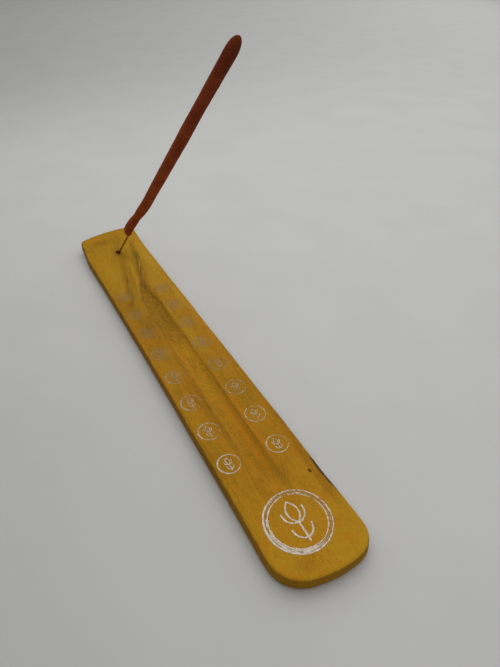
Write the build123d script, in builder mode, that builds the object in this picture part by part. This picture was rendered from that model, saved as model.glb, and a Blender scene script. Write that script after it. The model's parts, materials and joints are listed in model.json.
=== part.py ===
from build123d import *
from math import acos, asin, cos, degrees, radians, sin, sqrt
import os

# A flat wooden incense burner. The tray lies along Y: its blunt wide end is at -Y, and its upturned
# end, drilled for one stick, is at +Y. X is across the tray and Z is up. The origin is at the middle
# of the underside. All lengths are in millimetres and all angles in degrees.

# Tray board
tray_length = 259.0
tray_width = 38.0
tray_thickness = 6.0
blunt_end_radius = 46.5  # plan radius of the end at -Y
blunt_end_crown_x = 2.3  # where that end reaches furthest
blunt_left_corner_radius = 13.0
blunt_right_corner_radius = 9.5
drilled_end_radius = 120.0
drilled_end_crown_x = 17.0  # well to the +X side, so this end is slanted
drilled_corner_radius = 3.5
left_waist = 1.1  # hollow of the -X side at its middle
right_flare = 0.5  # the +X side runs out by this much towards the drilled end
top_edge_radius = 0.7
bottom_edge_radius = 2.0

# Upturned end: the board bends up in one arc from here to its end
curl_start = 101.2
curl_rise = 3.4

# Ash trough: the path of a round-nosed cutter that sinks into the board and rises out of it again
trough_x = -0.3  # where the path crosses the middle of the board
trough_skew = 0.7  # the path turns this much towards +X
trough_width = 10.4
trough_depth = 1.2
trough_blunt_end = -92.7
trough_drilled_end = 63.5
trough_blunt_run_out = 14.0
trough_drilled_run_out = 45.0

# Slanted blind hole for the stick
hole_x = 0.7
hole_y = 103.8
hole_diameter = 3.2
hole_lean = 46.0  # from upright, towards the wide end
hole_depth = 5.2  # along its axis, from the top face

# Incense stick: it lies against the +X side of the hole's mouth
stick_lean = 45.9
stick_side_lean = 3.53  # turned this much towards +X about Z
stick_reach = 197.5  # from the top face to the tip
stick_shift_x = 0.9
stick_shift_along_tray = 0.1
core_diameter = 1.2
core_end_clearance = 0.05
core_bare_length = 32.0  # bare bamboo above the top face
core_top_cover = 4.0  # paste over the splint's upper end
coating_foot_radius = 2.55
coating_tip_radius = 2.3
coating_foot_length = 9.0
coating_tip_length = 8.0
coating_foot_start_radius = 1.0

# Hot-stamped foil marks. They share one stamp, which sits slightly askew on the board.
foil_thickness = 0.1
stamp_x = -1.2
stamp_y = -75.45
stamp_skew = 0.49
emblem_count = 8
emblem_spacing = 18.3
emblem_column = 10.87
emblem_radius = 4.66
emblem_line = 0.55
emblem_motif_line = 0.42
medallion_x = -0.3
medallion_y = -32.7
medallion_radius = 12.6
medallion_outer_line = 0.8
medallion_inner_radius = 10.95
medallion_inner_line = 0.55
medallion_motif_line = 1.0

os.makedirs("parts", exist_ok=True)
half_length = tray_length / 2
half_width = tray_width / 2


def drop(radius, offset):
    """How far a circle falls away from its crown at this offset from it."""
    return radius - sqrt(radius**2 - offset**2)


def arc_radius(run, rise):
    """Radius of an arc that starts level and climbs by rise over run."""
    return (run**2 + rise**2) / (2 * rise)


def leaning(lean, side_lean):
    """Unit vector that leans from upright towards -Y, turned towards +X."""
    flat = sin(radians(lean))
    turn = radians(side_lean)
    return Vector(flat * sin(turn), -flat * cos(turn), cos(radians(lean)))


def blunt_corner(x):
    """Where the arc of the blunt end reaches a side."""
    return (x, drop(blunt_end_radius, x - blunt_end_crown_x) - half_length)


def drilled_corner(x):
    """Where the arc of the drilled end reaches a side."""
    return (x, half_length - drop(drilled_end_radius, x - drilled_end_crown_x))


curl_radius = arc_radius(half_length - curl_start, curl_rise)
curl_centre = (curl_start, tray_thickness + curl_radius)
curl_overrun = 8.0  # the bent side profile runs past the end, and the outline trims it
curl_angle = degrees(asin((half_length - curl_start + curl_overrun) / curl_radius))
hole_top = tray_thickness + drop(curl_radius, hole_y - curl_start)


# ---- Tray board ----
trough_cutter_radius = arc_radius(trough_width / 2, trough_depth)
trough_axis_z = tray_thickness - trough_depth + trough_cutter_radius
blunt_run_radius = arc_radius(trough_blunt_run_out, trough_depth)
drilled_run_radius = arc_radius(trough_drilled_run_out, trough_depth)
run_overrun = 1.15  # the cutter's axis climbs a little past the point where it leaves the wood
blunt_run_angle = run_overrun * degrees(asin(trough_blunt_run_out / blunt_run_radius))
drilled_run_angle = run_overrun * degrees(asin(trough_drilled_run_out / drilled_run_radius))

with BuildPart() as tray_board:
    with BuildSketch(Plane.YZ):
        with BuildLine():
            under = CenterArc(curl_centre, curl_radius + tray_thickness, 270, curl_angle)
            over = CenterArc(curl_centre, curl_radius, 270, curl_angle)
            Line(under @ 1, over @ 1)
            Polyline(over @ 0, (-half_length, tray_thickness), (-half_length, 0), under @ 0)
        make_face()
    extrude(amount=tray_width, both=True)

    with BuildSketch(Plane.XY) as outline:
        with BuildLine():
            blunt_left = blunt_corner(-half_width)
            blunt_right = blunt_corner(half_width - right_flare)
            drilled_left = drilled_corner(-half_width)
            drilled_right = drilled_corner(half_width)
            ThreePointArc(blunt_left, (blunt_end_crown_x, -half_length), blunt_right)
            Line(blunt_right, drilled_right)
            ThreePointArc(drilled_right, (drilled_end_crown_x, half_length), drilled_left)
            ThreePointArc(drilled_left, (left_waist - half_width, 0), blunt_left)
        make_face()
        for corner, corner_radius in (
            (blunt_left, blunt_left_corner_radius),
            (blunt_right, blunt_right_corner_radius),
            (drilled_left, drilled_corner_radius),
            (drilled_right, drilled_corner_radius),
        ):
            fillet(outline.vertices().sort_by_distance(corner)[0], radius=corner_radius)
    extrude(amount=tray_thickness + 3 * curl_rise, mode=Mode.INTERSECT)

    sides = tray_board.faces().filter_by(lambda face: abs(face.normal_at().Z) < 0.5)
    uppers = tray_board.faces().filter_by(lambda face: face.normal_at().Z > 0.5)
    lowers = tray_board.faces().filter_by(lambda face: face.normal_at().Z < -0.5)
    top_rim = uppers.edges() & sides.edges()
    bottom_rim = lowers.edges() & sides.edges()
    fillet(bottom_rim, radius=bottom_edge_radius)
    fillet(top_rim, radius=top_edge_radius)

    skew = radians(trough_skew)
    trough_plane = Plane(
        origin=(trough_x, 0, 0),
        x_dir=(sin(skew), cos(skew), 0),
        z_dir=(cos(skew), -sin(skew), 0),
    )
    with BuildLine(trough_plane) as trough_path:
        level_start = (trough_blunt_end + trough_blunt_run_out, trough_axis_z)
        level_end = (trough_drilled_end - trough_drilled_run_out, trough_axis_z)
        lift = radians(blunt_run_angle)
        entry = (
            level_start[0] - blunt_run_radius * sin(lift),
            level_start[1] + blunt_run_radius * (1 - cos(lift)),
        )
        JernArc(entry, (cos(lift), -sin(lift)), blunt_run_radius, blunt_run_angle)
        Line(level_start, level_end)
        JernArc(level_end, (1, 0), drilled_run_radius, drilled_run_angle)
    with BuildSketch(Plane(origin=trough_path.line @ 0, z_dir=trough_path.line % 0)):
        Circle(trough_cutter_radius)
    sweep(path=trough_path.line, mode=Mode.SUBTRACT)

    hole_axis = leaning(hole_lean, 0)
    hole_mouth = Vector(hole_x, hole_y, hole_top)
    drill_start = hole_mouth + hole_axis * hole_diameter
    with BuildSketch(Plane(origin=drill_start, x_dir=(1, 0, 0), z_dir=-hole_axis)):
        Circle(hole_diameter / 2)
    extrude(amount=hole_diameter + hole_depth, mode=Mode.SUBTRACT)


# ---- Incense stick ----
stick_axis = leaning(stick_lean, stick_side_lean)
stick_foot_y = hole_y + stick_shift_along_tray
stick_foot = Vector(
    hole_x + stick_shift_x,
    stick_foot_y,
    tray_thickness + drop(curl_radius, stick_foot_y - curl_start),
)
# The splint's square end stops just short of the hole's flat bottom, which its rim would meet first
floor_gap = hole_depth + (stick_foot - hole_mouth).dot(hole_axis)
end_tilt = acos(stick_axis.dot(hole_axis))
sunk_length = (floor_gap - core_diameter / 2 * sin(end_tilt)) / cos(end_tilt) - core_end_clearance
core_foot = stick_foot - stick_axis * sunk_length
core_length = sunk_length + stick_reach - core_top_cover

with BuildPart() as bamboo_core:
    with BuildSketch(Plane(origin=core_foot, z_dir=stick_axis)):
        Circle(core_diameter / 2)
    extrude(amount=core_length)

# Half section of the paste: local x is the distance from the stick's axis, local y runs up the axis
across = stick_axis.cross(Vector(1, 0, 0)).normalized()
half_section = Plane(origin=stick_foot, x_dir=across, z_dir=across.cross(stick_axis))
core_radius = core_diameter / 2
foot_end = core_bare_length + coating_foot_length
tip_start = stick_reach - coating_tip_length

with BuildPart() as incense_coating:
    with BuildSketch(half_section):
        with BuildLine():
            foot = Spline(
                (coating_foot_start_radius, core_bare_length),
                (coating_foot_radius, foot_end),
                tangents=[(1, 1), (0, 1)],
            )
            barrel = Line(foot @ 1, (coating_tip_radius, tip_start))
            Spline(barrel @ 1, (0, stick_reach), tangents=[(0, 1), (-1, 0)])
            Polyline(
                (0, stick_reach),
                (0, stick_reach - core_top_cover),
                (core_radius, stick_reach - core_top_cover),
                (core_radius, core_bare_length),
                (coating_foot_start_radius, core_bare_length),
            )
        make_face()
    revolve(axis=Axis(stick_foot, stick_axis))


# ---- Foil marks ----
stamp = Plane(
    origin=(stamp_x, stamp_y, tray_thickness),
    x_dir=(cos(radians(stamp_skew)), -sin(radians(stamp_skew)), 0),
    z_dir=(0, 0, 1),
)


def lotus_bud(mark_radius, line):
    """A plain lotus bud on a stem with two leaves, drawn in round-ended strokes to suit its ring."""
    unit = mark_radius / 12.6
    strokes = [((0, -0.8), (0, -4.5), (0, -8.2))]
    for side in (-1, 1):
        strokes += [
            ((0, 8.0), (side * 2.3, 3.6), (0, -0.8)),
            ((0, -0.8), (side * 3.4, 0.8), (side * 4.4, 4.6)),
            ((0, -7.0), (side * 2.7, -5.6), (side * 3.9, -2.6)),
        ]
    with BuildSketch() as bud:
        for stroke in strokes:
            start, middle, end = [(x * unit, y * unit) for x, y in stroke]
            with BuildLine():
                if start[0] == middle[0] == end[0]:
                    Line(start, end)
                else:
                    ThreePointArc(start, middle, end)
            trace(line_width=line)
            with Locations(start, end):
                Circle(line / 2)
    return bud.sketch


emblem_bud = lotus_bud(emblem_radius, emblem_motif_line)
emblems = []
for side, side_name in ((-1, "left"), (1, "right")):
    for place in range(emblem_count):
        with BuildPart() as emblem:
            with BuildSketch(stamp):
                with Locations((side * emblem_column, place * emblem_spacing)):
                    Circle(emblem_radius)
                    Circle(emblem_radius - emblem_line, mode=Mode.SUBTRACT)
                    add(emblem_bud)
            extrude(amount=foil_thickness)
        emblem.part.label = f"emblem_foil_{side_name}_{place + 1}"
        emblems.append(emblem.part)

with BuildPart() as medallion_outer_ring:
    with BuildSketch(stamp):
        with Locations((medallion_x, medallion_y)):
            Circle(medallion_radius)
            Circle(medallion_radius - medallion_outer_line, mode=Mode.SUBTRACT)
    extrude(amount=foil_thickness)

with BuildPart() as medallion_inner_ring:
    with BuildSketch(stamp):
        with Locations((medallion_x, medallion_y)):
            Circle(medallion_inner_radius)
            Circle(medallion_inner_radius - medallion_inner_line, mode=Mode.SUBTRACT)
    extrude(amount=foil_thickness)

medallion_bud = lotus_bud(medallion_radius, medallion_motif_line)
with BuildPart() as medallion_motif:
    with BuildSketch(stamp):
        with Locations((medallion_x, medallion_y)):
            add(medallion_bud)
    extrude(amount=foil_thickness)


# ---- One file for each piece ----
tray_board.part.label = "tray_board"
bamboo_core.part.label = "bamboo_core"
incense_coating.part.label = "incense_coating"
medallion_outer_ring.part.label = "medallion_outer_ring"
medallion_inner_ring.part.label = "medallion_inner_ring"
medallion_motif.part.label = "medallion_motif"

export_step(tray_board.part, "parts/tray_board.step")
export_step(bamboo_core.part, "parts/bamboo_core.step")
export_step(incense_coating.part, "parts/incense_coating.step")
export_step(medallion_outer_ring.part, "parts/medallion_outer_ring.step")
export_step(medallion_inner_ring.part, "parts/medallion_inner_ring.step")
export_step(medallion_motif.part, "parts/medallion_motif.step")
for emblem_part in emblems:
    export_step(emblem_part, f"parts/{emblem_part.label}.step")
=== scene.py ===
import json
import math
from types import SimpleNamespace

import bpy
import numpy as np
from mathutils import Matrix, Vector


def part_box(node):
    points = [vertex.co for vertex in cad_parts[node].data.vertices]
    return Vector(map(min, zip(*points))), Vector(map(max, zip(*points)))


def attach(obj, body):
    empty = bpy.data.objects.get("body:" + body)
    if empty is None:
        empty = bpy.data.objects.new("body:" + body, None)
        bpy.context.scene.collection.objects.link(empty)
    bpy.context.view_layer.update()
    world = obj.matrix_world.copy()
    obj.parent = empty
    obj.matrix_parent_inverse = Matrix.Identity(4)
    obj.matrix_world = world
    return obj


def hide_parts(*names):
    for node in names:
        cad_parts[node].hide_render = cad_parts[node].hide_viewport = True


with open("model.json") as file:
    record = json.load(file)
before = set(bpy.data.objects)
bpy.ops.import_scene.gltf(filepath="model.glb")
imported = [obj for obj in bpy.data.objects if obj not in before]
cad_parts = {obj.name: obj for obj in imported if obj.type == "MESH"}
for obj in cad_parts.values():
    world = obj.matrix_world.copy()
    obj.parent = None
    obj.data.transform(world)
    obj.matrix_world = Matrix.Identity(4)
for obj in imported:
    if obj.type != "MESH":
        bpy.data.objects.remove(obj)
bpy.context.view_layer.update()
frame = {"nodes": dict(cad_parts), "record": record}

# Looks for a flat wooden incense burner with one leaning stick. Sizes and places are in millimetres
# of the tray's own frame, and MM turns them into Blender's metres. The tray lies along Y, with its
# drilled, upturned end at +Y.
MM = 0.001
nodes = frame["nodes"]

# ---- Camera: the photograph's place and angle ----
CAMERA_PLACE = (-68.32, -185.79, 167.06)  # from the middle of the tray's underside
CAMERA_DOWN = 38.07  # degrees below level
CAMERA_TURN = 30.06  # degrees from +Y towards +X
CAMERA_ROLL = 1.71  # degrees
CAMERA_LENS = 27.53
CAMERA_SENSOR = 36.0
CAMERA_SEES = (0.01, 20.0)  # nearest and farthest, in metres


def make_camera():
    """The camera stands off the blunt end, on the left of the tray, and looks down along it."""
    data = bpy.data.cameras.new("camera")
    data.lens = CAMERA_LENS
    data.sensor_width = CAMERA_SENSOR
    data.clip_start, data.clip_end = CAMERA_SEES
    camera = bpy.data.objects.new("camera", data)
    bpy.context.collection.objects.link(camera)
    turn = Matrix.Rotation(math.radians(-CAMERA_TURN), 4, "Z")
    tilt = Matrix.Rotation(math.radians(90 - CAMERA_DOWN), 4, "X")
    roll = Matrix.Rotation(math.radians(CAMERA_ROLL), 4, "Z")
    camera.matrix_world = Matrix.Translation(Vector(CAMERA_PLACE) * MM) @ turn @ tilt @ roll
    bpy.context.scene.camera = camera


# ---- Smooth seeded noise for mesh work ----
LATTICE = 64


def noise(x, y, seed):
    """Smooth noise between -1 and 1 at these places, one lattice cell per unit."""
    table = np.random.default_rng(seed).uniform(-1, 1, (LATTICE, LATTICE))
    x, y = np.broadcast_arrays(np.asarray(x, float), np.asarray(y, float))
    column = np.floor(x).astype(int)
    row = np.floor(y).astype(int)
    u = x - column
    v = y - row
    u = u * u * (3 - 2 * u)
    v = v * v * (3 - 2 * v)

    def corner(i, j):
        return table[(column + i) % LATTICE, (row + j) % LATTICE]

    near = corner(0, 0) * (1 - u) + corner(1, 0) * u
    far = corner(0, 1) * (1 - u) + corner(1, 1) * u
    return near * (1 - v) + far * v


def rough(x, y, seed, octaves=3):
    """Noise with finer and weaker layers added."""
    total = sum(noise(x * 2**k, y * 2**k, seed + k) / 2**k for k in range(octaves))
    return total / sum(1 / 2**k for k in range(octaves))


def smoothstep(low, high, value):
    """Rises smoothly from 0 at low to 1 at high, which may be the smaller number."""
    t = np.clip((np.asarray(value, float) - low) / (high - low), 0, 1)
    return t * t * (3 - 2 * t)


# ---- Node materials ----
class Shader:
    """A node material that is built by naming nodes and what feeds their inputs."""

    def __init__(self, name):
        self.material = bpy.data.materials.new(name)
        self.material.use_nodes = True
        self.tree = self.material.node_tree
        self.tree.nodes.clear()
        place = self.node("ShaderNodeTexCoord").outputs["Object"]
        self.place = self.vector("SCALE", place, scale=1 / MM)  # object coordinates in millimetres

    def node(self, kind, **settings):
        made = self.tree.nodes.new(kind)
        for name, value in settings.items():
            setattr(made, name, value)
        return made

    def feed(self, socket, value):
        if isinstance(value, bpy.types.NodeSocket):
            self.tree.links.new(value, socket)
        elif value is not None:
            socket.default_value = value

    def math(self, operation, *values, clamp=False):
        made = self.node("ShaderNodeMath", operation=operation, use_clamp=clamp)
        for socket, value in zip(made.inputs, values):
            self.feed(socket, value)
        return made.outputs[0]

    def add(self, first, second):
        return self.math("ADD", first, second)

    def subtract(self, first, second):
        return self.math("SUBTRACT", first, second)

    def product(self, *values):
        total = values[0]
        for value in values[1:]:
            total = self.math("MULTIPLY", total, value)
        return total

    def vector(self, operation, first, second=None, scale=None):
        made = self.node("ShaderNodeVectorMath", operation=operation)
        self.feed(made.inputs[0], first)
        self.feed(made.inputs[1], second)
        if scale is not None:
            self.feed(made.inputs["Scale"], scale)
        gives_number = operation in ("LENGTH", "DISTANCE", "DOT_PRODUCT")
        return made.outputs["Value" if gives_number else "Vector"]

    def split(self, vector):
        made = self.node("ShaderNodeSeparateXYZ")
        self.feed(made.inputs[0], vector)
        return made.outputs

    def join(self, x, y, z):
        made = self.node("ShaderNodeCombineXYZ")
        for socket, value in zip(made.inputs, (x, y, z)):
            self.feed(socket, value)
        return made.outputs[0]

    def noise(self, vector, scale, detail, roughness=0.5):
        made = self.node("ShaderNodeTexNoise")
        self.feed(made.inputs["Vector"], vector)
        self.feed(made.inputs["Scale"], scale)
        self.feed(made.inputs["Detail"], detail)
        self.feed(made.inputs["Roughness"], roughness)
        return made.outputs["Fac"]

    def centred(self, noise, size):
        """Noise as an offset to either side, size from end to end."""
        return self.product(self.subtract(noise, 0.5), size)

    def span(self, value, low, high, to_low=0.0, to_high=1.0, smooth=True):
        """Maps value from low..high to to_low..to_high, held at both ends."""
        ramp = "SMOOTHSTEP" if smooth else "LINEAR"
        made = self.node("ShaderNodeMapRange", interpolation_type=ramp)
        names = ("Value", "From Min", "From Max", "To Min", "To Max")
        for name, number in zip(names, (value, low, high, to_low, to_high)):
            self.feed(made.inputs[name], number)
        return made.outputs["Result"]

    def mix(self, amount, first, second):
        made = self.node("ShaderNodeMix", data_type="RGBA")
        self.feed(made.inputs["Factor"], amount)
        self.feed(made.inputs["A"], opaque(first))
        self.feed(made.inputs["B"], opaque(second))
        return made.outputs["Result"]

    def bump(self, height, distance, strength):
        made = self.node("ShaderNodeBump")
        self.feed(made.inputs["Height"], height)
        self.feed(made.inputs["Distance"], distance)
        self.feed(made.inputs["Strength"], strength)
        return made.outputs["Normal"]

    def line(self, value, middle, reach):
        """One at middle, fading smoothly to zero at reach to either side."""
        away = self.math("ABSOLUTE", self.subtract(value, middle))
        return self.span(away, 0.0, reach, 1.0, 0.0)

    def spot(self, x, y, middle, reach):
        """One at a point, fading smoothly to zero at reach, an x and a y radius."""
        across = self.math("DIVIDE", self.subtract(x, middle[0]), reach[0])
        along = self.math("DIVIDE", self.subtract(y, middle[1]), reach[1])
        return self.span(self.vector("LENGTH", self.join(across, along, 0.0)), 0.0, 1.0, 1.0, 0.0)

    def finish(self, **inputs):
        surface = self.node("ShaderNodeBsdfPrincipled")
        for name, value in inputs.items():
            self.feed(surface.inputs[name.replace("_", " ")], opaque(value))
        output = self.node("ShaderNodeOutputMaterial")
        self.tree.links.new(surface.outputs[0], output.inputs[0])
        return self.material


def opaque(value):
    """A colour given as three numbers, with its fourth."""
    return (*value, 1.0) if isinstance(value, tuple) and len(value) == 3 else value


def linear(red, green, blue):
    """A display colour, 0 to 255, as scene-linear numbers."""
    shares = (red / 255, green / 255, blue / 255)
    return tuple(c / 12.92 if c <= 0.04 else ((c + 0.055) / 1.055) ** 2.4 for c in shares)


def show(name, mesh, material):
    """A new object of this mesh, smooth shaded."""
    made = bpy.data.objects.new(name, mesh)
    bpy.context.collection.objects.link(made)
    mesh.materials.clear()
    mesh.materials.append(material)
    mesh.shade_smooth()
    return made


# ---- Where the frame puts things, in millimetres ----
def box_mm(node):
    """The lowest and highest corners of a CAD node."""
    low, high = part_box(node)
    return np.array(low) / MM, np.array(high) / MM


def stick_frame():
    """The stick's direction, and the point on its line where it leaves the board's top face."""
    joint = next(j for j in frame["record"]["behaviour"]["joints"] if j["name"] == "stick_pull")
    along = np.array(joint["axis"], float)
    along /= np.linalg.norm(along)
    low, high = box_mm("bamboo_core")
    middle = (low + high) / 2
    return along, middle + along * (TOP_FACE - middle[2]) / along[2]


TOP_FACE = float(box_mm("medallion_motif")[0][2])
STICK_ALONG, STICK_FOOT = stick_frame()
HOLE_MOUTH = STICK_FOOT - np.array((0.9, 0.1, 0.0))  # the splint lies against the hole's +X side
HOLE_RADIUS = 1.6
TROUGH_SLOPE = math.tan(math.radians(0.7))  # the trough runs slightly askew
TROUGH_X = -0.3  # where it crosses the middle of the board
TROUGH_REACH = 5.0  # half its width
TROUGH_TIP = 62.0  # where it has run out towards the drilled end
TROUGH_TAPER = 27.0  # it narrows over this much of its end
CHIP_MIDDLE = -94.0  # a long splinter has come off the right-hand edge here
CHIP_RUN = 15.0  # half its length
CHIP_EDGE = 17.9
CHIP_WIDTH = 1.2


# ---- Stained wood: its tones, and where they lie ----
OLIVE_STAIN = linear(158, 115, 14)
GOLDEN_STAIN = linear(175, 126, 17)
ORANGE_STAIN = linear(182, 120, 14)
RUSTY_STAIN = linear(190, 121, 12)
GREENISH_STAIN = linear(170, 130, 4)
PALE_STAIN = linear(194, 146, 28)
DARK_FIBRE = linear(117, 78, 6)
PALE_FIBRE = linear(194, 149, 38)
TORN_FIBRE = linear(192, 145, 16)
VEIN_BROWN = linear(104, 71, 10)
# the end grain's darker stain, and painted shade for the long sides
SIDE_STAIN_AND_SHADE = linear(122, 85, 20)
# pale rubbed stain, and a painted highlight along the rounded upper edges
RUBBED_EDGE_AND_HIGHLIGHT = linear(196, 156, 66)
# dirt, and painted shade on the trough's walls
TROUGH_DIRT_AND_SHADE = linear(110, 66, 4)
SCORCH = linear(166, 100, 30)
KNOT = linear(74, 38, 8)
FOIL_DUST = linear(146, 122, 88)
CHIPPED = linear(66, 42, 16)
GREEN_BRUISE = linear(112, 94, 4)

# place, reach across and along, strength, tone
STAIN_AND_HIGHLIGHT_PATCHES = (
    ((-7.0, 122.5), (9.0, 5.0), 0.62, RUSTY_STAIN),
    ((5.0, 124.0), (6.0, 4.5), 0.45, RUSTY_STAIN),
    ((13.5, 113.5), (3.5, 6.0), 0.45, ORANGE_STAIN),
    ((-6.0, 117.5), (9.0, 5.0), 0.60, DARK_FIBRE),
    ((9.8, 91.0), (3.6, 13.0), 0.32, VEIN_BROWN),
    ((2.5, 119.0), (4.0, 7.0), 0.25, DARK_FIBRE),
    ((2.5, 100.0), (6.0, 12.0), 0.60, DARK_FIBRE),
    ((3.0, 90.0), (4.5, 14.0), 0.25, DARK_FIBRE),
    ((7.0, 71.0), (3.0, 6.0), 0.35, VEIN_BROWN),
    ((-1.5, 105.0), (3.4, 7.0), 0.35, DARK_FIBRE),
    ((7.0, 104.0), (4.0, 5.0), 0.30, DARK_FIBRE),
    ((-0.5, 82.0), (3.5, 16.0), 0.25, DARK_FIBRE),
    ((-11.0, 76.0), (8.5, 36.0), 0.45, PALE_STAIN),
    ((-7.0, 56.0), (6.0, 16.0), 0.45, PALE_FIBRE),
    ((10.0, 66.0), (6.5, 34.0), 0.40, PALE_FIBRE),
    ((2.5, 48.0), (3.0, 10.0), 0.35, PALE_FIBRE),
    ((1.5, 84.0), (3.5, 12.0), 0.30, PALE_FIBRE),
    # painted highlight: the next two pale bands along the right-hand edge
    ((15.5, 88.0), (4.5, 44.0), 0.62, PALE_FIBRE),
    ((16.5, 40.0), (3.5, 44.0), 0.45, PALE_FIBRE),
    ((-12.0, 34.0), (7.0, 18.0), 0.28, DARK_FIBRE),
    ((-9.0, 23.0), (8.0, 14.0), 0.60, DARK_FIBRE),
    ((-6.0, 29.0), (3.0, 6.0), 0.40, DARK_FIBRE),
    ((-6.5, 55.0), (2.6, 9.0), 0.50, VEIN_BROWN),
    ((4.0, 24.0), (3.0, 22.0), 0.40, TORN_FIBRE),
    ((0.0, -2.0), (3.0, 9.0), 0.45, TORN_FIBRE),
    ((-1.5, -84.0), (3.5, 9.0), 0.40, DARK_FIBRE),
    ((0.0, -112.0), (9.0, 12.0), 0.40, RUSTY_STAIN),
    ((-7.5, -123.0), (7.0, 5.0), 0.35, DARK_FIBRE),
    ((-1.5, 6.0), (3.2, 16.0), 0.35, DARK_FIBRE),
    ((8.0, 2.0), (5.0, 20.0), 0.50, PALE_STAIN),
    ((-13.5, 10.0), (5.0, 9.0), 0.50, ORANGE_STAIN),
    ((2.0, -8.0), (4.0, 18.0), 0.45, PALE_STAIN),
    ((-0.6, -40.0), (3.6, 36.0), 0.40, PALE_STAIN),
    ((1.5, -60.0), (8.0, 36.0), 0.70, RUSTY_STAIN),
    ((-3.0, -62.0), (5.0, 26.0), 0.22, DARK_FIBRE),
    ((15.5, -102.0), (4.0, 10.0), 0.45, DARK_FIBRE),
    ((16.5, -90.0), (4.0, 17.0), 0.45, DARK_FIBRE),
    ((-8.0, -45.0), (4.0, 30.0), 0.25, DARK_FIBRE),
    ((10.0, -90.0), (8.0, 12.0), 0.30, PALE_STAIN),
    ((3.4, -89.0), (4.0, 11.0), 0.50, DARK_FIBRE),
    ((-6.5, -91.0), (4.0, 9.0), 0.35, DARK_FIBRE),
    ((17.5, -66.0), (3.5, 34.0), 0.35, DARK_FIBRE),
    ((8.5, -114.0), (7.0, 6.0), 0.45, ORANGE_STAIN),
    ((-3.5, -123.0), (8.0, 5.5), 0.45, ORANGE_STAIN),
    ((-12.5, -101.0), (4.5, 8.0), 0.35, ORANGE_STAIN),
    ((2.0, -101.0), (6.0, 5.0), 0.35, ORANGE_STAIN),
)

# start, end, reach to either side, strength, tone
VEINS = (
    ((12.5, 114.0), (9.2, 92.0), 2.6, 0.44, VEIN_BROWN),
    ((10.0, 99.0), (6.2, 76.0), 4.0, 0.46, VEIN_BROWN),
    ((6.8, 80.0), (1.8, 56.0), 4.0, 0.55, VEIN_BROWN),
    ((1.6, 61.0), (4.0, 38.0), 3.0, 0.50, VEIN_BROWN),
    ((-1.5, 92.0), (-5.0, 70.0), 3.0, 0.15, VEIN_BROWN),
    ((-4.6, 74.0), (-10.6, 41.0), 3.0, 0.46, VEIN_BROWN),
    ((3.2, 92.0), (0.2, 62.0), 1.8, 0.45, PALE_FIBRE),
    ((0.6, 66.0), (-4.0, 48.0), 1.4, 0.55, PALE_FIBRE),
    ((-0.5, 100.0), (5.5, 118.0), 2.6, 0.31, VEIN_BROWN),
    ((10.4, 108.0), (8.4, 88.0), 0.9, 0.33, VEIN_BROWN),
    ((9.4, 94.0), (5.0, 71.0), 1.0, 0.36, VEIN_BROWN),
    ((7.2, 88.0), (3.4, 70.0), 0.7, 0.33, VEIN_BROWN),
    ((5.4, 76.0), (2.2, 59.0), 1.1, 0.40, VEIN_BROWN),
    ((0.8, 62.0), (3.9, 44.0), 1.1, 0.43, VEIN_BROWN),
    ((-0.2, 61.0), (-3.9, 45.0), 1.0, 0.43, VEIN_BROWN),
    ((1.6, 84.0), (-3.0, 64.0), 0.7, 0.30, VEIN_BROWN),
    ((-3.4, 80.0), (-5.4, 66.0), 0.9, 0.30, VEIN_BROWN),
    ((-4.8, 72.0), (-9.8, 44.0), 1.1, 0.33, VEIN_BROWN),
)

# offset from the trough's middle, reach, first and last place along the tray, strength, tone
TROUGH_DIRT_AND_SHADE_LINES = (
    # the lines at 3.8 darken the right-hand wall: dirt, and painted shade of the wall that faces
    # away from the light
    (3.8, 2.3, -84.0, -52.0, 0.34, TROUGH_DIRT_AND_SHADE),
    (3.8, 2.3, -52.0, 10.0, 0.16, TROUGH_DIRT_AND_SHADE),
    (3.8, 2.3, 10.0, 56.0, 0.34, TROUGH_DIRT_AND_SHADE),
    (1.4, 2.8, 8.0, 58.0, 0.20, VEIN_BROWN),
    (-5.6, 1.6, -78.0, 0.0, 0.42, DARK_FIBRE),
    (-3.6, 1.7, 14.0, 54.0, 0.25, VEIN_BROWN),
)

# place, radii, strength, tone
SPECKS = (
    ((13.8, -92.6), (1.0, 1.5), 0.82, KNOT),
    ((-15.8, 111.8), (1.3, 1.7), 0.40, KNOT),
    ((9.2, 98.0), (1.6, 4.6), 0.50, GREEN_BRUISE),
    ((0.0, 102.6), (2.4, 4.2), 0.60, VEIN_BROWN),
)

FIBRE_LEAN = 22.0  # how far the fibres lean across the tray by its drilled end
FIBRE_WANDER = 9.0
FOIL_HAZE = {4: 0.18, 5: 0.36, 6: 0.29, 7: 0.33, 8: 0.38}  # dust round the worn marks of each pair
FOIL_HAZE_REACH = (6.5, 6.5)
MEDALLION_HAZE = (11.8, 1.5, 0.40)  # a ring of dust: its radius, its reach and its strength


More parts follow.
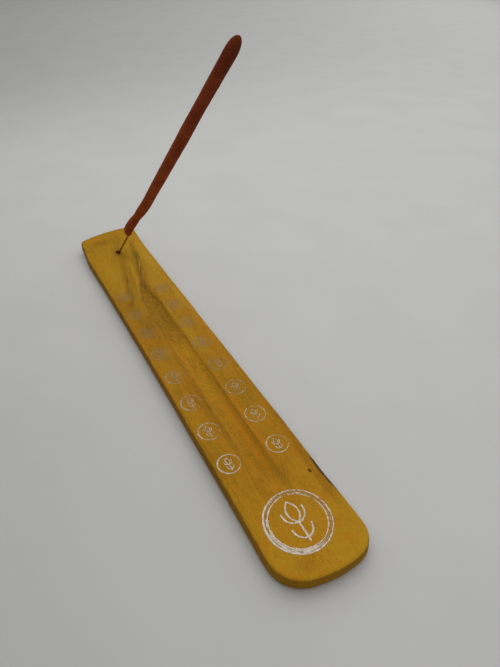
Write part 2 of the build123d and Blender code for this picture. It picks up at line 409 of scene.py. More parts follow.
def wood_fields(s):
    """The tray's coordinates, and the noise and places that the layers of the wood share."""
    x, y, z = s.split(s.place)

    # The fibres run along the tray, and lean across it towards the drilled end
    lean = s.product(s.span(y, 0.0, 120.0), FIBRE_LEAN)
    wander = s.noise(s.join(s.product(x, 0.05), s.product(y, 0.022), 0.4), 1.0, 2.0)
    across = s.add(s.subtract(x, lean), s.centred(wander, FIBRE_WANDER))

    def fibres(crosswise, lengthwise, lift, detail, roughness):
        """Noise drawn out along the fibres, with this many cells to a millimetre."""
        place = s.join(s.product(across, crosswise), s.product(y, lengthwise), s.product(z, lift))
        return s.noise(place, 1.0, detail, roughness)

    def level(crosswise, lengthwise, height, detail, roughness=0.5):
        """Noise that is the same all through the board."""
        place = s.join(s.product(x, crosswise), s.product(y, lengthwise), height)
        return s.noise(place, 1.0, detail, roughness)

    mottle = level(0.45, 0.3, s.product(z, 0.3), 4.0, 0.6)
    shift = s.centred(mottle, 7.0)

    # The trough narrows to a tip at its drilled end
    trough_middle = s.add(s.product(y, TROUGH_SLOPE), TROUGH_X)
    offset = s.add(s.subtract(x, trough_middle), s.centred(mottle, 1.2))
    upper = s.span(z, 3.6, 4.6)
    tapering = s.math("DIVIDE", s.subtract(TROUGH_TIP, y), TROUGH_TAPER, clamp=True)
    half_width = s.product(s.math("SQRT", tapering), TROUGH_REACH)
    from_rim = s.subtract(half_width, s.math("ABSOLUTE", offset))
    inside = s.product(s.span(from_rim, 0.0, 1.0), upper)

    # Short torn fibres in the trough, across the grain of the rest
    slanted = s.join(s.add(s.product(x, 1.6), s.product(y, 0.55)), s.product(y, 0.22), z)

    facing_up = s.math("ABSOLUTE", s.split(s.node("ShaderNodeTexCoord").outputs["Normal"])[2])
    return SimpleNamespace(
        x=x,
        y=y,
        z=z,
        band=fibres(0.28, 0.016, 0.25, 2.0, 0.5),
        grain=fibres(1.3, 0.05, 1.1, 4.0, 0.62),
        thread=fibres(5.0, 0.22, 4.0, 3.0, 0.65),
        pore=fibres(2.7, 0.9, 2.7, 3.0, 0.75),
        patch=level(0.075, 0.045, 3.7, 3.0, 0.55),
        blotch=level(0.17, 0.14, 5.2, 4.0, 0.6),
        waver=s.centred(level(0.1, 0.09, 8.0, 3.0), 4.0),
        mottle=mottle,
        shifted_x=s.add(x, shift),
        shifted_y=s.add(y, shift),
        offset=offset,
        upper=upper,
        from_rim=from_rim,
        inside=inside,
        torn=s.noise(slanted, 1.0, 4.0, 0.68),
        rasped=s.product(inside, s.span(y, -75.0, 0.0, 0.0, 1.0)),
        facing_up=facing_up,
        side=s.span(facing_up, 0.75, 0.25),
    )


def add_stain(s, w):
    """Yellow, redder along the middle of the tray, paler at its wide end, greener at the other."""
    colour = s.mix(s.span(w.patch, 0.34, 0.66), OLIVE_STAIN, GOLDEN_STAIN)
    redder = s.product(s.span(w.y, -125.0, -70.0), s.span(w.y, 45.0, 0.0))
    banded = s.product(s.span(w.band, 0.36, 0.62), s.span(redder, 0.0, 1.0, 0.40, 0.80))
    colour = s.mix(banded, colour, ORANGE_STAIN)
    colour = s.mix(s.product(s.span(w.y, -80.0, -128.0), 0.75), colour, PALE_STAIN)
    colour = s.mix(s.product(s.span(w.y, 50.0, 92.0), 0.50), colour, GREENISH_STAIN)
    blotched = s.product(s.span(w.blotch, 0.48, 0.64), s.span(w.y, -80.0, -102.0), 0.50)
    return s.mix(blotched, colour, RUSTY_STAIN)


def add_grain(s, w, colour):
    """Dark and pale fibres, calmer at the wide end, over a fine mottle."""
    calm = s.span(w.y, -112.0, -82.0, 0.35, 1.0)
    colour = s.mix(s.product(s.span(w.grain, 0.50, 0.78, 0.0, 0.50), calm), colour, DARK_FIBRE)
    colour = s.mix(s.span(w.grain, 0.46, 0.25, 0.0, 0.40), colour, PALE_FIBRE)
    colour = s.mix(s.product(s.span(w.thread, 0.52, 0.80, 0.0, 0.40), calm), colour, DARK_FIBRE)
    colour = s.mix(s.span(w.mottle, 0.52, 0.75, 0.0, 0.30), colour, ORANGE_STAIN)
    return s.mix(s.span(w.mottle, 0.47, 0.25, 0.0, 0.28), colour, DARK_FIBRE)


def add_patches(s, w, colour):
    """Broad places where the stain took more or less, and a painted highlight along the right-hand
    edge.
    """
    figure = s.span(w.grain, 0.3, 0.6, 0.7, 1.0)
    for middle, reach, strength, tone in STAIN_AND_HIGHLIGHT_PATCHES:
        spot = s.spot(w.shifted_x, w.shifted_y, middle, reach)
        colour = s.mix(s.product(spot, figure, strength), colour, tone)
    return colour


def add_veins(s, w, colour):
    """Dark and pale veins that waver from one place to another."""
    veined = s.add(s.add(w.x, w.waver), s.centred(w.thread, 1.6))
    figure = s.span(w.grain, 0.37, 0.60, 0.35, 1.15)
    for start, end, reach, strength, tone in VEINS:
        run = s.math("DIVIDE", s.subtract(w.y, start[1]), end[1] - start[1])
        middle = s.add(s.product(run, end[0] - start[0]), start[0])
        between_ends = s.product(s.span(run, -0.15, 0.15), s.span(run, 1.15, 0.85))
        amount = s.product(s.line(veined, middle, reach), between_ends, strength, figure)
        colour = s.mix(amount, colour, tone)
    return colour


def add_trough_soot(s, w, colour):
    """Soot and stain that settle in the trough, dirt and painted shade along its walls and rim, and
    torn fibres on its floor.
    """
    figure = s.span(w.grain, 0.3, 0.6, 0.6, 1.0)
    settled = s.product(w.inside, s.span(w.y, -4.0, 22.0), figure, 0.42)
    colour = s.mix(settled, colour, VEIN_BROWN)
    stretch = s.product(s.span(w.y, -84.0, -60.0), s.span(w.y, 58.0, 40.0))
    # Dirt and painted shade: darker just inside the trough's rim, where its walls fall away
    crease = s.product(s.line(w.from_rim, 0.45, 0.75), w.upper, stretch)
    colour = s.mix(s.product(crease, 0.38), colour, TROUGH_DIRT_AND_SHADE)
    for middle, reach, start, end, strength, tone in TROUGH_DIRT_AND_SHADE_LINES:
        stretch = s.product(s.span(w.y, start - 14, start + 14), s.span(w.y, end + 14, end - 14))
        amount = s.product(s.line(w.offset, middle, reach), stretch, w.upper, strength, figure)
        colour = s.mix(amount, colour, tone)
    dark = s.product(s.span(w.torn, 0.51, 0.68, 0.0, 0.55), w.rasped)
    colour = s.mix(dark, colour, DARK_FIBRE)
    pale = s.product(s.span(w.torn, 0.47, 0.32, 0.0, 0.60), w.rasped)
    return s.mix(pale, colour, TORN_FIBRE)


def add_pores(s, w, colour):
    """Short pores, dark where stain filled them and pale where it was rubbed off."""
    plain = s.span(w.inside, 0.0, 1.0, 0.65, 1.0)
    colour = s.mix(s.product(s.span(w.pore, 0.53, 0.66, 0.0, 0.50), plain), colour, DARK_FIBRE)
    return s.mix(s.product(s.span(w.pore, 0.47, 0.35, 0.0, 0.42), plain), colour, TORN_FIBRE)


def add_foil_dust(s, w, colour):
    """A haze of foil dust round the most worn marks, and a ring of it under the large one."""
    figure = s.span(w.mottle, 0.35, 0.6, 0.5, 1.0)
    for number, strength in FOIL_HAZE.items():
        for side in ("left", "right"):
            middle = sum(box_mm(f"emblem_foil_{side}_{number}")) / 2
            spot = s.spot(w.shifted_x, w.shifted_y, middle[:2], FOIL_HAZE_REACH)
            colour = s.mix(s.product(spot, figure, strength), colour, FOIL_DUST)
    middle = sum(box_mm("medallion_outer_ring")) / 2
    from_middle = s.vector("DISTANCE", s.join(w.x, w.y, 0.0), (middle[0], middle[1], 0.0))
    radius, reach, strength = MEDALLION_HAZE
    return s.mix(s.product(s.line(from_middle, radius, reach), strength), colour, FOIL_DUST)


def add_specks(s, w, colour):
    """Small knots and bruises, slightly out of round."""
    bent = s.add(w.x, s.product(w.waver, 0.15))
    for middle, reach, strength, tone in SPECKS:
        spot = s.spot(bent, w.y, middle, reach)
        colour = s.mix(s.product(s.span(spot, 0.0, 0.55), strength), colour, tone)
    return colour


def add_edges(s, w, colour):
    """End grain is darker, the long sides are darker as painted shade, and the stain is rubbed thin
    along the upper edges, with a painted highlight there.
    """
    place = s.join(s.product(w.x, 2.2), s.product(w.z, 2.2), s.product(w.y, 0.4))
    end_pores = s.noise(place, 1.0, 3.0, 0.7)
    # Painted shade and stain: faces that do not face up turn browner, the end grain for its stain,
    # the long sides as painted shade
    darker = s.product(w.side, s.span(end_pores, 0.35, 0.7, 0.35, 0.75))
    colour = s.mix(darker, colour, SIDE_STAIN_AND_SHADE)
    # Rubbed wear and painted highlight: a pale band where the upper edges round over
    patchy = s.product(s.span(w.z, 3.5, 5.0), s.span(w.mottle, 0.4, 0.65))
    rubbed = s.product(s.line(w.facing_up, 0.72, 0.30), patchy, 0.45)
    return s.mix(rubbed, colour, RUBBED_EDGE_AND_HIGHLIGHT)


def add_chip(s, w, colour):
    """A long dark splinter mark along the upper right-hand edge, near the wide end."""
    run = s.line(w.y, CHIP_MIDDLE, CHIP_RUN)
    ragged = s.centred(w.mottle, 1.4)
    inward = s.add(s.product(run, CHIP_WIDTH), ragged)
    downward = s.add(s.product(run, 2.6), s.product(ragged, 1.6))
    chip = s.product(
        s.span(s.add(w.x, inward), CHIP_EDGE, CHIP_EDGE + 0.3),
        s.span(s.add(w.z, downward), 5.3, 6.3),
        s.span(w.y, -112.0, -104.0),
        s.span(w.y, -84.0, -90.0),
    )
    return s.mix(s.product(chip, 0.9), colour, CHIPPED)


def add_hole(s, w, colour):
    """The drilled hole is bare and scorched inside, with a dirty rim."""
    to_mouth = s.vector("SUBTRACT", s.place, tuple(HOLE_MOUTH))
    from_axis = s.vector("LENGTH", s.vector("CROSS_PRODUCT", to_mouth, tuple(STICK_ALONG)))
    near = s.product(
        s.span(from_axis, HOLE_RADIUS + 1.3, HOLE_RADIUS - 0.1), s.span(w.z, 0.4, 1.2)
    )
    scorched = s.span(w.z, TOP_FACE - 0.1, TOP_FACE - 1.2, 0.40, 0.85)
    return s.mix(s.product(near, scorched), colour, SCORCH)


def wood_material():
    """Yellow-stained wood: the stain first, and each layer of figure, dirt and wear over it."""
    s = Shader("stained_wood")
    w = wood_fields(s)
    colour = add_stain(s, w)
    for layer in (
        add_grain, add_patches, add_veins, add_trough_soot, add_pores,
        add_foil_dust, add_specks, add_edges, add_chip, add_hole,
    ):
        colour = layer(s, w, colour)
    height = s.add(s.product(w.thread, 0.5), s.product(w.grain, 0.8))
    height = s.add(height, s.product(w.mottle, 0.5))
    height = s.add(height, s.product(w.torn, w.rasped, 1.2))
    normal = s.bump(height, 0.12 * MM, 0.55)
    dull = s.add(s.span(w.thread, 0.3, 0.7, 0.50, 0.62), s.product(w.side, 0.12))
    return s.finish(Base_Color=colour, Roughness=dull, Specular_IOR_Level=0.07, Normal=normal)


# ---- The board's own mesh ----
TRAY_VOXEL = 0.42
RUB_ROUNDS = 9
RUB_SHARES = (0.14, 0.50)  # how strongly edges are rubbed round, in general and at the wide end
HOLE_NARROWED = 0.55
SIDE_RIPPLE = (0.16, 0.05)  # coarse and fine unevenness of the sides
SIDE_FLARE = 0.40  # the sides lean out this much towards the table
CHIP_DEPTH = 0.6
CORNER_DRAWN_IN = 1.3  # the left-hand corner of the drilled end is sanded narrower


def remeshed(node, voxel):
    """The CAD node's own shape as one fine, even mesh."""
    copy = bpy.data.objects.new(node + "_copy", nodes[node].data.copy())
    bpy.context.collection.objects.link(copy)
    remesh = copy.modifiers.new("voxels", "REMESH")
    remesh.mode = "VOXEL"
    remesh.voxel_size = voxel * MM
    ready = copy.evaluated_get(bpy.context.evaluated_depsgraph_get())
    mesh = bpy.data.meshes.new_from_object(ready)
    bpy.data.objects.remove(copy)
    return mesh


def read_points(mesh):
    """The mesh's vertices in millimetres and their normals, one row each."""
    count = len(mesh.vertices)
    points = np.empty(count * 3)
    normals = np.empty(count * 3)
    mesh.vertices.foreach_get("co", points)
    mesh.vertex_normals.foreach_get("vector", normals)
    return points.reshape(-1, 3) / MM, normals.reshape(-1, 3)


def eased(points, edges, share, rounds):
    """Draws each point towards the middle of its neighbours by its own share, again and again."""
    count = len(points)
    start, end = edges.T
    degree = np.bincount(edges.ravel(), minlength=count)[:, None]
    for _ in range(rounds):
        total = np.stack([
            np.bincount(start, p[end], count) + np.bincount(end, p[start], count) for p in points.T
        ], 1)
        points = points + share[:, None] * (total / degree - points)
    return points


def surface_waves(x, y):
    """How far the hand-sanded top face rises or sinks."""
    return 0.035 * rough(x / 14, y / 30, 21) + 0.012 * rough(x / 2.5, y / 6, 22)


def rub_edges(points, edges):
    """Rounds the edges, most at the wide end; the drilled hole stays crisp."""
    across, along = np.abs(points[:, 0]), np.abs(points[:, 1])
    near_rim = np.maximum(smoothstep(13.5, 16.5, across), smoothstep(116, 122, along))
    general, wide_end = RUB_SHARES
    share = general + (wide_end - general) * smoothstep(-98, -122, points[:, 1])
    share = share * near_rim * smoothstep(HOLE_RADIUS + 0.8, HOLE_RADIUS + 2.0, from_hole(points))
    return eased(points, edges, share, RUB_ROUNDS)


def from_hole(points):
    """How far each point is from the line of the drilled hole."""
    return np.linalg.norm(np.cross(points - HOLE_MOUTH, STICK_ALONG), axis=1)


def make_tray(material):
    """The board: the CAD solid meshed finely, with the uneven sides and edges of hand sanding."""
    mesh = remeshed("tray_board", TRAY_VOXEL)
    points, normals = read_points(mesh)
    edges = np.empty(len(mesh.edges) * 2, dtype=np.int32)
    mesh.edges.foreach_get("vertices", edges)
    to_hole = from_hole(points)
    points = rub_edges(points, edges.reshape(-1, 2))

    # the hole is narrower on the side away from the splint
    beside = np.clip((HOLE_MOUTH[0] - points[:, 0]) / HOLE_RADIUS, 0, 1)
    at_hole = smoothstep(HOLE_RADIUS + 1.2, HOLE_RADIUS + 0.1, to_hole)
    points[:, 0] += HOLE_NARROWED * beside * at_hole

    # the sides ripple and lean out; x, y and z are views, so they follow each change to points
    x, y, z = points.T
    outward = normals * (1, 1, 0)
    sideways = smoothstep(0.2, 0.8, np.linalg.norm(outward, axis=1))
    around = x + np.where(x > 0, 400.0, 0.0)  # the two sides get different noise
    ripple = SIDE_RIPPLE[0] * rough(y / 16, around / 16, 31)
    ripple = ripple + SIDE_RIPPLE[1] * rough(y / 4, (around + z) / 4, 32)
    chip = np.exp(-(((y - CHIP_MIDDLE) / 9.0) ** 2)) * smoothstep(3.0, 5.0, z)
    chip *= smoothstep(CHIP_EDGE - CHIP_WIDTH, CHIP_EDGE + 0.4, x)
    flare = SIDE_FLARE * (1 - smoothstep(0.8, 4.8, z))
    points += outward * ((ripple + flare) * sideways)[:, None]
    points[:, 0] += CORNER_DRAWN_IN * smoothstep(100, 119, y) * smoothstep(-9, -17, x)
    waves = surface_waves(x, y) * smoothstep(0.5, 0.95, normals[:, 2])
    points[:, 2] += waves - CHIP_DEPTH * chip

    mesh.vertices.foreach_set("co", (points * MM).ravel())
    mesh.update()
    tray = show("tray_wood", mesh, material)
    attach(tray, "tray")
    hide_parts("tray_board")


# ---- Foil marks: thin closed films cut by a field that is positive where foil is left ----
FILM_CELL = 0.09
FILM_MARGIN = 0.3  # of the grid, outside a mark
FILM_TOP = 0.045  # above the board
FILM_SUNK = 0.06  # below it, so that the film never parts from the wavy wood
SMALLEST_FLAKE = 14  # faces


def cut_film(field, line):
    """Triangles of the part of a square grid where the field is positive, cut along its edge."""
    rows, columns = field.shape
    index = np.arange(rows * columns).reshape(rows, columns)
    a = index[:-1, :-1].ravel()
    b = index[:-1, 1:].ravel()
    c = index[1:, 1:].ravel()
    d = index[1:, :-1].ravel()
    triangles = np.concatenate([np.stack([a, b, c], 1), np.stack([a, c, d], 1)])
    value = field.ravel()
    inside = value[triangles] > 0
    count = inside.sum(1)
    crossings = {}
    points = [(x, y) for y in line for x in line]
    faces = [tuple(t) for t in triangles[count == 3]]

    def crossing(i, j):
        key = (min(i, j), max(i, j))
        if key not in crossings:
            share = value[i] / (value[i] - value[j])
            crossings[key] = len(points)
            points.append(tuple(p + share * (q - p) for p, q in zip(points[i], points[j])))
        return crossings[key]

    cut = (count == 1) | (count == 2)
    for triangle, within in zip(triangles[cut], inside[cut]):
        one_inside = within.sum() == 1
        odd = int(np.argmax(within)) if one_inside else int(np.argmin(within))
        first, second, third = (int(triangle[(odd + k) % 3]) for k in range(3))
        if one_inside:
            faces.append((first, crossing(first, second), crossing(first, third)))
        else:
            left = crossing(first, second)
            right = crossing(first, third)
            faces.append((left, second, third))
            faces.append((left, third, right))
    return np.array(points), np.array(faces)


def drop_flakes(faces, count):
    """Leaves out islands of only a few faces."""
    parent = np.arange(count)
    while True:
        lowest = parent[faces].min(1)
        new = parent.copy()
        for k in range(3):
            np.minimum.at(new, faces[:, k], lowest)
        if np.array_equal(new, parent):
            break
        parent = new[new]
    island = parent[faces[:, 0]]
    _, inverse, sizes = np.unique(island, return_inverse=True, return_counts=True)
    return faces[sizes[inverse] >= SMALLEST_FLAKE]


def film(name, node, field, line, place, material):
    """A closed film on the board where the field is positive, standing for a CAD mark."""
    points, faces = cut_film(field, line)
    faces = drop_flakes(faces, len(points))
    used, faces = np.unique(faces, return_inverse=True)
    faces = faces.reshape(-1, 3)
    points = place(points[used])
    count = len(points)
    edges = np.concatenate([faces[:, [0, 1]], faces[:, [1, 2]], faces[:, [2, 0]]])
    forward = edges[:, 0] * count + edges[:, 1]
    backward = edges[:, 1] * count + edges[:, 0]
    rim = edges[~np.isin(forward, backward)]
    top = TOP_FACE + surface_waves(points[:, 0], points[:, 1])
    upper = np.column_stack([points, top + FILM_TOP])
    lower = np.column_stack([points, top - FILM_SUNK])
    walls = np.column_stack([rim[:, 0], rim[:, 0] + count, rim[:, 1] + count, rim[:, 1]])
    solid = faces.tolist() + (faces[:, ::-1] + count).tolist() + walls.tolist()
    mesh = bpy.data.meshes.new(name)
    mesh.from_pydata((np.concatenate([upper, lower]) * MM).tolist(), [], solid)
    mesh.update()
    piece = show(name, mesh, material)
    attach(piece, "tray")
    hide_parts(node)


def to_arc(x, y, start, middle, end, pieces=14):
    """Distance from each place to the arc through three points."""
    t = np.linspace(0, 1, pieces + 1)[:, None]
    start, middle, end = (np.array(p, float) for p in (start, middle, end))
    bend = 2 * middle - (start + end) / 2  # a parabola through the same three points
    line = (1 - t) ** 2 * start + 2 * t * (1 - t) * bend + t**2 * end
    best = np.full(x.shape, np.inf)
    for p, q in zip(line[:-1], line[1:]):
        along = q - p
        share = np.clip(((x - p[0]) * along[0] + (y - p[1]) * along[1]) / (along @ along), 0, 1)
        best = np.minimum(best, np.hypot(x - p[0] - share * along[0], y - p[1] - share * along[1]))
    return best


LOTUS_RING = 12.6  # the strokes below are drawn for a ring of this radius


def lotus_distance(x, y, radius):
    """Distance from each place to the strokes of a lotus bud that suits a ring of this radius."""
    unit = radius / LOTUS_RING
    strokes = [((0, -0.8), (0, -4.5), (0, -8.2))]
    for side in (-1, 1):
        strokes += [
            ((0, 8.0), (side * 2.3, 3.6), (0, -0.8)),
            ((0, -0.8), (side * 3.4, 0.8), (side * 4.4, 4.6)),
            ((0, -7.0), (side * 2.7, -5.6), (side * 3.9, -2.6)),
        ]
    best = np.full(x.shape, np.inf)
    for stroke in strokes:
        best = np.minimum(best, to_arc(x / unit, y / unit, *stroke) * unit)
    return best


def stamp_turn():
    """How far the whole stamp is turned on the board, in radians."""
    first = sum(box_mm("emblem_foil_left_1")) / 2
    last = sum(box_mm("emblem_foil_left_8")) / 2
    return math.atan2(first[0] - last[0], last[1] - first[1])


def placed_at(node):
    """A function that turns a mark's own places into the board's, and the mark's radius."""
    low, high = box_mm(node)
    middle = (low + high)[:2] / 2
    turn = stamp_turn()
    right = np.array((math.cos(turn), math.sin(turn)))
    ahead = np.array((-math.sin(turn), math.cos(turn)))

    def place(points):
        return middle + points[:, :1] * right + points[:, 1:] * ahead

    return place, (high[0] - low[0]) / 2


def mark_grid(radius):
    """The places of a square grid that holds a mark of this radius."""
    reach = radius + FILM_MARGIN
    steps = int(2 * reach / FILM_CELL) + 2
    line = (np.arange(steps) - (steps - 1) / 2) * FILM_CELL
    x, y = np.meshgrid(line, line)
    return line, x, y


def worn_line(width, distance, fray, wear):
    """A field that is positive within half a line's width, and less so where the line is worn."""
    return width / 2 - distance - fray * wear


EMBLEM_LINE = 0.40
EMBLEM_STROKE = 0.32
EMBLEM_WEAR = {"left": (-0.08, 0.36), "right": (0.06, 0.34)}  # first and last; more is barer
RING_BARE = {"left": (-10.0, 0.28), "right": (10.0, 0.12)}  # where in degrees, and how much barer
MARKS_IN_COLUMN = 8


def make_emblem(side, number, material):
    """One small mark: a ring round a lotus bud, more worn towards the drilled end."""
    node = f"emblem_foil_{side}_{number}"
    place, radius = placed_at(node)
    line, x, y = mark_grid(radius)
    seed = 100 + number + (20 if side == "right" else 0)
    worn = rough(x / 1.1, y / 1.1, seed) * 0.55 + rough(x / 0.32, y / 0.32, seed + 50, 2) * 0.45
    first, last = EMBLEM_WEAR[side]
    level = first + (last - first) * (number - 1) / (MARKS_IN_COLUMN - 1)
    towards, barer = RING_BARE[side]
    bare = barer * np.cos(np.arctan2(y, x) - math.radians(towards))
    from_ring = np.abs(np.hypot(x, y) - (radius - EMBLEM_LINE / 2))
    ring = worn_line(EMBLEM_LINE, from_ring, EMBLEM_LINE, worn * 0.75 + level + bare)
    from_bud = lotus_distance(x, y, radius)
    bud = worn_line(EMBLEM_STROKE, from_bud, EMBLEM_STROKE, worn * 0.75 + level * 0.8)
    film(f"emblem_{side}_{number}", node, np.maximum(ring, bud), line, place, material)


PRESSED_TOWARDS = 215.0  # degrees; the large stamp pressed hardest at its lower left
OUTER_LINE = 0.52
OUTER_INSET = 0.28  # from the edge of its CAD ring to the middle of the line
INNER_LINE = 0.44
INNER_INSET = 0.26
RING_FRAY = 0.40
STREAK_FRAY = 0.30
BUD_LINE = 0.72
BUD_FRAY = 0.42


def make_medallion(material):
    """The large mark: two rings with torn streaks of foil between them, round a lotus bud."""
    place, radius = placed_at("medallion_outer_ring")
    inner = placed_at("medallion_inner_ring")[1]
    line, x, y = mark_grid(radius)
    away = np.hypot(x, y)
    angle = np.arctan2(y, x)
    worn = rough(x / 1.5, y / 1.5, 60) * 0.5 + rough(x / 0.35, y / 0.35, 61, 2) * 0.5
    pressed = 0.5 + 0.5 * np.cos(angle - math.radians(PRESSED_TOWARDS))
    streaks = rough((angle + np.pi) * radius / 5.0, away / 0.24, 63, 2) * 0.7 + worn * 0.35
    between = np.minimum(radius - away, away - inner + 0.5)
    band = np.minimum(between, STREAK_FRAY * (pressed * 0.75 - 0.63 - streaks * 1.7))
    split = away - (radius + inner) / 2  # the foil between the rings is shared out at this radius
    from_outer = np.abs(away - (radius - OUTER_INSET))
    outer = worn_line(OUTER_LINE, from_outer, RING_FRAY, worn * 0.9 + 0.22 - 0.45 * pressed)
    from_inner = np.abs(away - (inner - INNER_INSET))
    inside = worn_line(INNER_LINE, from_inner, RING_FRAY, worn * 0.9 + 0.20 - 0.40 * pressed)
    bud = worn_line(BUD_LINE, lotus_distance(x, y, radius), BUD_FRAY, worn * 0.8 + 0.04)
    for name, node, field in (
        ("medallion_outer", "medallion_outer_ring", np.maximum(outer, np.minimum(band, split))),
        ("medallion_inner", "medallion_inner_ring", np.maximum(inside, np.minimum(band, -split))),
        ("medallion_lotus", "medallion_motif", bud),
    ):
        film(name, node, field, line, place, material)


def foil_material():
    """Silver foil, worn to the wood in specks, and duller towards the drilled end."""
    s = Shader("silver_foil")
    x, y, _ = s.split(s.place)
    cloud = s.noise(s.join(x, y, 0.0), 0.8, 4.0, 0.6)
    speck = s.noise(s.join(x, y, 0.0), 5.5, 3.0, 0.7)
    bright = s.mix(s.span(cloud, 0.35, 0.65), linear(204, 193, 180), linear(172, 160, 142))
    dull = s.mix(s.span(cloud, 0.35, 0.65), linear(146, 128, 104), linear(130, 112, 82))
    colour = s.mix(s.span(y, -100.0, 0.0, smooth=False), bright, dull)
    colour = s.mix(s.span(speck, 0.48, 0.66, 0.0, 0.8), colour, linear(140, 104, 40))
    dull_skin = s.span(speck, 0.3, 0.7, 0.36, 0.62)
    normal = s.bump(speck, 0.03 * MM, 0.5)
    return s.finish(Base_Color=colour, Metallic=0.85, Roughness=dull_skin, Normal=normal)


# ---- The stick ----
BEND_START = 28.0  # the splint and its paste bow out here, a little above the board
BEND_CROWN = 44.0
BEND_END = 78.0
BEND_REACH = 2.15
SPLINT_RADIUS = 0.6
SPLINT_SHAVED = 0.96  # the split bamboo is a little thinner than its round hole in the paste
PASTE_FOOT_RADIUS = 0.9  # of the CAD node, which says where the paste starts
PASTE_FOOT_LENGTH = 11.0  # the paste thickens over this much from its foot
PASTE_FOOT_SHARE = 0.26  # of its full radius, where it starts
PASTE_FOOT_MESHED = 3.0  # the mesh is finer over this much from its foot
PASTE_RADIUS = 2.50
PASTE_SLIMS = (0.66, 0.80)  # shares of its length between which it slims to its tip's radius
PASTE_TIP_RADIUS = 2.24
PASTE_TIP_LENGTH = 8.0  # the paste rounds off over this much
PASTE_WAIST = 27.0  # pinched thinner this far above its foot, where the stick bends
PASTE_WAIST_REACH = 5.0
PASTE_WAIST_DEPTH = 0.15  # share of the radius
PASTE_ENDS = (1.0, 0.5)  # the paste's mesh ends this far inside the CAD node at foot and tip


def stick_line(s):
    """Places along the stick's slightly bent middle line, s millimetres from the board."""
    s = np.asarray(s, float)[:, None]
    left = np.array((-1.0, 0.0, 0.0))
    left -= STICK_ALONG * (left @ STICK_ALONG)
    left /= np.linalg.norm(left)
    up = np.cross(STICK_ALONG, left)
    bow = BEND_REACH * smoothstep(BEND_START, BEND_CROWN, s) * smoothstep(BEND_END, BEND_CROWN, s)
    settled = smoothstep(BEND_START, BEND_END, s)
    sway = settled * (0.22 * rough(s / 38, 0 * s, 71) - 0.35)
    heave = settled * 0.22 * rough(s / 45, 0 * s, 72)
    return STICK_FOOT + STICK_ALONG * s + left * (bow + sway) + up * heave


def tube(name, s, radius, sides, material, node):
    """A closed tube round the stick's line; radius gives each ring's radius at each angle."""
    middle = stick_line(s)
    turn = np.arange(sides) / sides * 2 * np.pi
    ahead = np.gradient(middle, axis=0)
    ahead /= np.linalg.norm(ahead, axis=1)[:, None]
    across = np.cross(ahead, (0.0, 0.0, 1.0))
    across /= np.linalg.norm(across, axis=1)[:, None]
    over = np.cross(across, ahead)
    reach = radius(s[:, None], turn[None])
    rings = middle[:, None] + reach[..., None] * (
        np.cos(turn)[None, :, None] * across[:, None] + np.sin(turn)[None, :, None] * over[:, None]
    )
    points = np.concatenate([rings.reshape(-1, 3), middle[:1], middle[-1:]])
    rows = len(s)
    faces = []
    for i in range(rows - 1):
        for j in range(sides):
            k = (j + 1) % sides
            faces.append((i * sides + j, i * sides + k, (i + 1) * sides + k, (i + 1) * sides + j))
    for j in range(sides):
        k = (j + 1) % sides
        faces.append((rows * sides, k, j))
        faces.append((rows * sides + 1, (rows - 1) * sides + j, (rows - 1) * sides + k))
    mesh = bpy.data.meshes.new(name)
    mesh.from_pydata((points * MM).tolist(), [], faces)
    mesh.update()
    piece = show(name, mesh, material)
    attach(piece, "stick")
    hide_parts(node)


def reach_along(z):
    """How far along the stick's line this height is."""
    return (z - STICK_FOOT[2]) / STICK_ALONG[2]


def make_splint(material):
    """The bamboo splint, not quite round."""
    low, high = box_mm("bamboo_core")
    lean = math.sqrt(1 - STICK_ALONG[2] ** 2)
    start = reach_along(low[2] + SPLINT_RADIUS * lean)
    end = reach_along(high[2] - SPLINT_RADIUS * lean)
    s = np.linspace(start, end, 260)

    def section(s, turn):
        flat = 1 + 0.05 * np.cos(2 * turn + 0.6) + 0.03 * np.cos(3 * turn + s / 40)
        fibre = 0.025 * noise(np.cos(turn) * 3 + 9, np.sin(turn) * 3 + s / 30, 81)
        return SPLINT_RADIUS * SPLINT_SHAVED * flat * (1 + fibre)

    tube("bamboo_splint", s, section, 28, material, "bamboo_core")


def make_paste(material):
    """The hand-rolled paste: a foot that thickens, a waist, a slimmer top and a rounded tip."""
    low, high = box_mm("incense_coating")
    lean = math.sqrt(1 - STICK_ALONG[2] ** 2)
    start = reach_along(low[2] + PASTE_FOOT_RADIUS * lean) + PASTE_ENDS[0]
    end = reach_along(high[2]) - PASTE_ENDS[1]
    s = np.concatenate([
        start + PASTE_FOOT_MESHED * np.linspace(0, 1, 18) ** 1.6,
        np.linspace(start + PASTE_FOOT_MESHED, end - PASTE_TIP_LENGTH, 420)[1:],
        end - PASTE_TIP_LENGTH * np.linspace(1, 0, 32)[1:] ** 1.8,
    ])

    def section(s, turn):
        slimmed = smoothstep(*PASTE_SLIMS, (s - start) / (end - start))
        body = PASTE_RADIUS + (PASTE_TIP_RADIUS - PASTE_RADIUS) * slimmed
        waist = np.exp(-(((s - start - PASTE_WAIST) / PASTE_WAIST_REACH) ** 2))
        body = body * (1 - PASTE_WAIST_DEPTH * waist)
        thin = 1 - np.clip((s - start) / PASTE_FOOT_LENGTH, 0, 1)
        thick = np.sqrt(np.clip(1 - thin**1.9, 0, 1)) ** 1.15
        foot = PASTE_FOOT_SHARE + (1 - PASTE_FOOT_SHARE) * thick
        near_tip = np.clip((s - end) / PASTE_TIP_LENGTH + 1, 0, 1)
        tip = np.sqrt(np.clip(1 - near_tip**2.4, 0, 1))
        lump = 0.035 * rough(s / 16 + np.cos(turn), np.sin(turn) + 4, 91)
        grit = 0.018 * rough(s / 1.5 + np.cos(turn) * 2, np.sin(turn) * 3 + s / 60, 92)
        return body * foot * tip * (1 + lump + grit)

    tube("incense_paste", s, section, 72, material, "incense_coating")


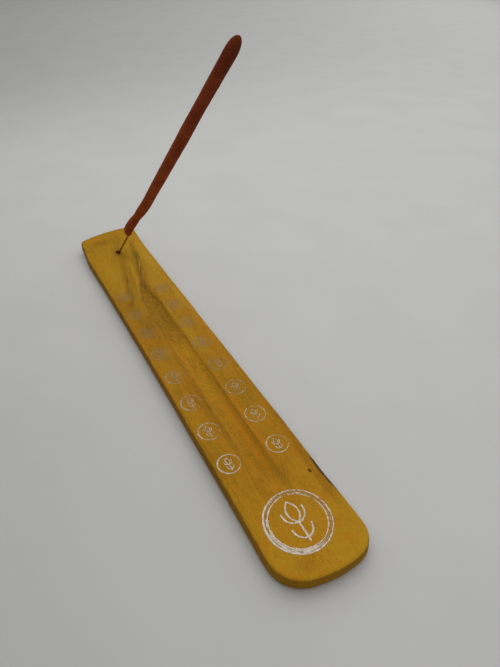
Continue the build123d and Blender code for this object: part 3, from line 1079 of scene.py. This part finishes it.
def bamboo_material():
    """Split bamboo, with fibres along it and brown smudges."""
    s = Shader("bamboo_splint")
    x, y, z = s.split(s.place)
    along_fibres = s.join(s.product(x, 5.0), s.product(s.add(y, z), 3.5), s.product(z, 0.2))
    fibre = s.noise(along_fibres, 1.0, 4.0, 0.6)
    smudge = s.noise(s.place, 0.3, 3.0)
    colour = s.mix(s.span(fibre, 0.35, 0.65), linear(138, 92, 34), linear(170, 120, 52))
    colour = s.mix(s.span(smudge, 0.45, 0.7, 0.0, 0.5), colour, linear(104, 60, 22))
    normal = s.bump(fibre, 0.05 * MM, 0.6)
    return s.finish(Base_Color=colour, Roughness=0.6, Specular_IOR_Level=0.3, Normal=normal)


def paste_material():
    """Dry red-brown powder, a little darker towards the tip."""
    s = Shader("incense_paste")
    along = s.vector("DOT_PRODUCT", s.place, tuple(STICK_ALONG))
    along = s.subtract(along, float(STICK_FOOT @ STICK_ALONG))
    lump = s.noise(s.place, 0.16, 3.0, 0.55)
    powder = s.noise(s.place, 1.6, 5.0, 0.68)
    grain = s.noise(s.place, 5.5, 3.0, 0.7)
    low = s.mix(s.span(lump, 0.38, 0.62), linear(142, 60, 22), linear(157, 73, 28))
    high = s.mix(s.span(lump, 0.38, 0.62), linear(119, 49, 24), linear(133, 58, 29))
    colour = s.mix(s.span(along, 70.0, 190.0), low, high)
    colour = s.mix(s.span(along, 176.0, 196.0, 0.0, 0.4), colour, linear(70, 26, 12))
    colour = s.mix(s.span(powder, 0.50, 0.68, 0.0, 0.70), colour, linear(66, 24, 10))
    colour = s.mix(s.span(powder, 0.46, 0.28, 0.0, 0.60), colour, linear(172, 80, 34))
    colour = s.mix(s.span(grain, 0.62, 0.76, 0.0, 0.5), colour, linear(176, 106, 54))
    height = s.add(powder, s.product(grain, 0.5))
    normal = s.bump(height, 0.22 * MM, 0.8)
    return s.finish(Base_Color=colour, Roughness=0.9, Specular_IOR_Level=0.08, Normal=normal)


# ---- Floor and light ----
FLOOR_REACH = 4.0  # metres from its middle to each edge
WORLD_TINT = (0.97, 0.98, 1.0, 1.0)
WORLD_STRENGTH = 0.15
# name, place, what it points at, side of its square, power; in metres and watts
LIGHTS = (
    ("overhead", (0.25, 0.01, 0.40), (0.47, 0.03, 0.0), 0.92, 1.8),
    ("beyond", (0.84, 1.05, 0.69), (0.43, 1.15, 0.0), 2.2, 11.9),
)


def floor_material():
    """Pale paint, very slightly uneven."""
    s = Shader("floor_paint")
    speck = s.noise(s.place, 0.02, 3.0)
    colour = s.mix(s.span(speck, 0.3, 0.7), (0.590, 0.588, 0.568), (0.610, 0.607, 0.588))
    return s.finish(Base_Color=colour, Roughness=0.7, Specular_IOR_Level=0.1)


def make_floor():
    """A wide plain floor under the tray."""
    mesh = bpy.data.meshes.new("floor")
    signs = ((-1, -1), (1, -1), (1, 1), (-1, 1))
    corners = [(x * FLOOR_REACH, y * FLOOR_REACH, 0) for x, y in signs]
    mesh.from_pydata(corners, [], [(0, 1, 2, 3)])
    floor = show("floor", mesh, floor_material())


def area_light(name, place, aim, size, power):
    """A square soft light that points at a place on the floor."""
    data = bpy.data.lights.new(name, "AREA")
    data.shape = "SQUARE"
    data.size = size
    data.energy = power
    light = bpy.data.objects.new(name, data)
    bpy.context.collection.objects.link(light)
    light.location = place
    light.rotation_euler = (Vector(aim) - Vector(place)).to_track_quat("-Z", "Y").to_euler()
    light.visible_camera = False


def make_lights():
    """A small soft box over the tray and a wide one beyond it, in dim surroundings."""
    world = bpy.data.worlds.new("studio")
    world.use_nodes = True
    background = world.node_tree.nodes["Background"]
    background.inputs["Color"].default_value = WORLD_TINT
    background.inputs["Strength"].default_value = WORLD_STRENGTH
    bpy.context.scene.world = world
    for name, place, aim, size, power in LIGHTS:
        area_light(name, place, aim, size, power)
    bpy.context.scene.view_settings.view_transform = "Standard"


make_camera()
make_floor()
make_lights()
make_tray(wood_material())
foil = foil_material()
for mark in range(1, MARKS_IN_COLUMN + 1):
    make_emblem("left", mark, foil)
    make_emblem("right", mark, foil)
make_medallion(foil)
make_splint(bamboo_material())
make_paste(paste_material())
